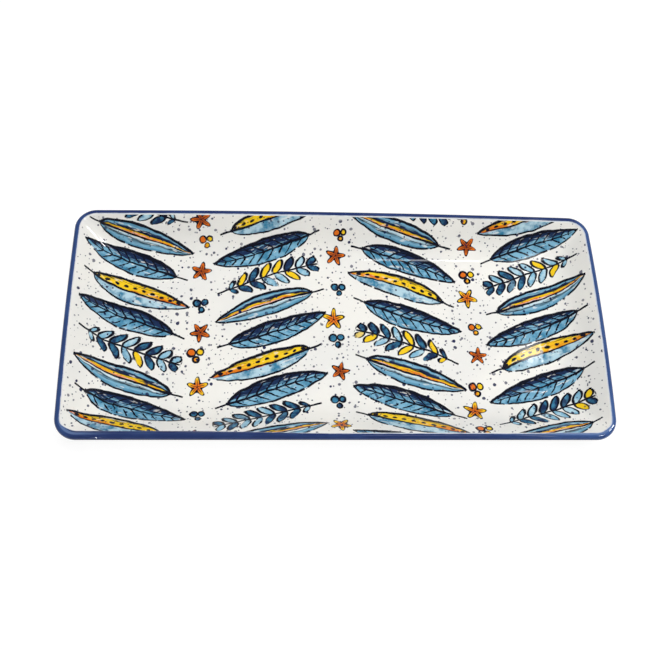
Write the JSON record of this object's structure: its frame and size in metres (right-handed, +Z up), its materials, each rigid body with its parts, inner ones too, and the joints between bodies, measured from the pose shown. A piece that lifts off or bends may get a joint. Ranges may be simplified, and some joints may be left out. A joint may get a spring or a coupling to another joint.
{
  "type": "serving platter",
  "caption": "Long rectangular ceramic serving platter with rounded corners, sloping walls, a round blue lip, a printed white glaze face and a bare foot ring underneath.",
  "frame": {"origin": "centre of the platter on the table plane, under the foot ring", "axes": "+X along the length, +Y along the width, +Z up out of the serving face"},
  "size_m": [0.356, 0.161, 0.026],
  "materials": {
    "bare_stoneware": "matt fired clay",
    "white_glaze": "gloss",
    "cobalt_glaze": "gloss"
  },
  "bodies": {
    "root": {"stoneware_body": "bare_stoneware", "face_glaze": "white_glaze", "rim_band": "cobalt_glaze", "skirt_glaze": "white_glaze", "base_glaze": "white_glaze"}
  },
  "joints": []
}
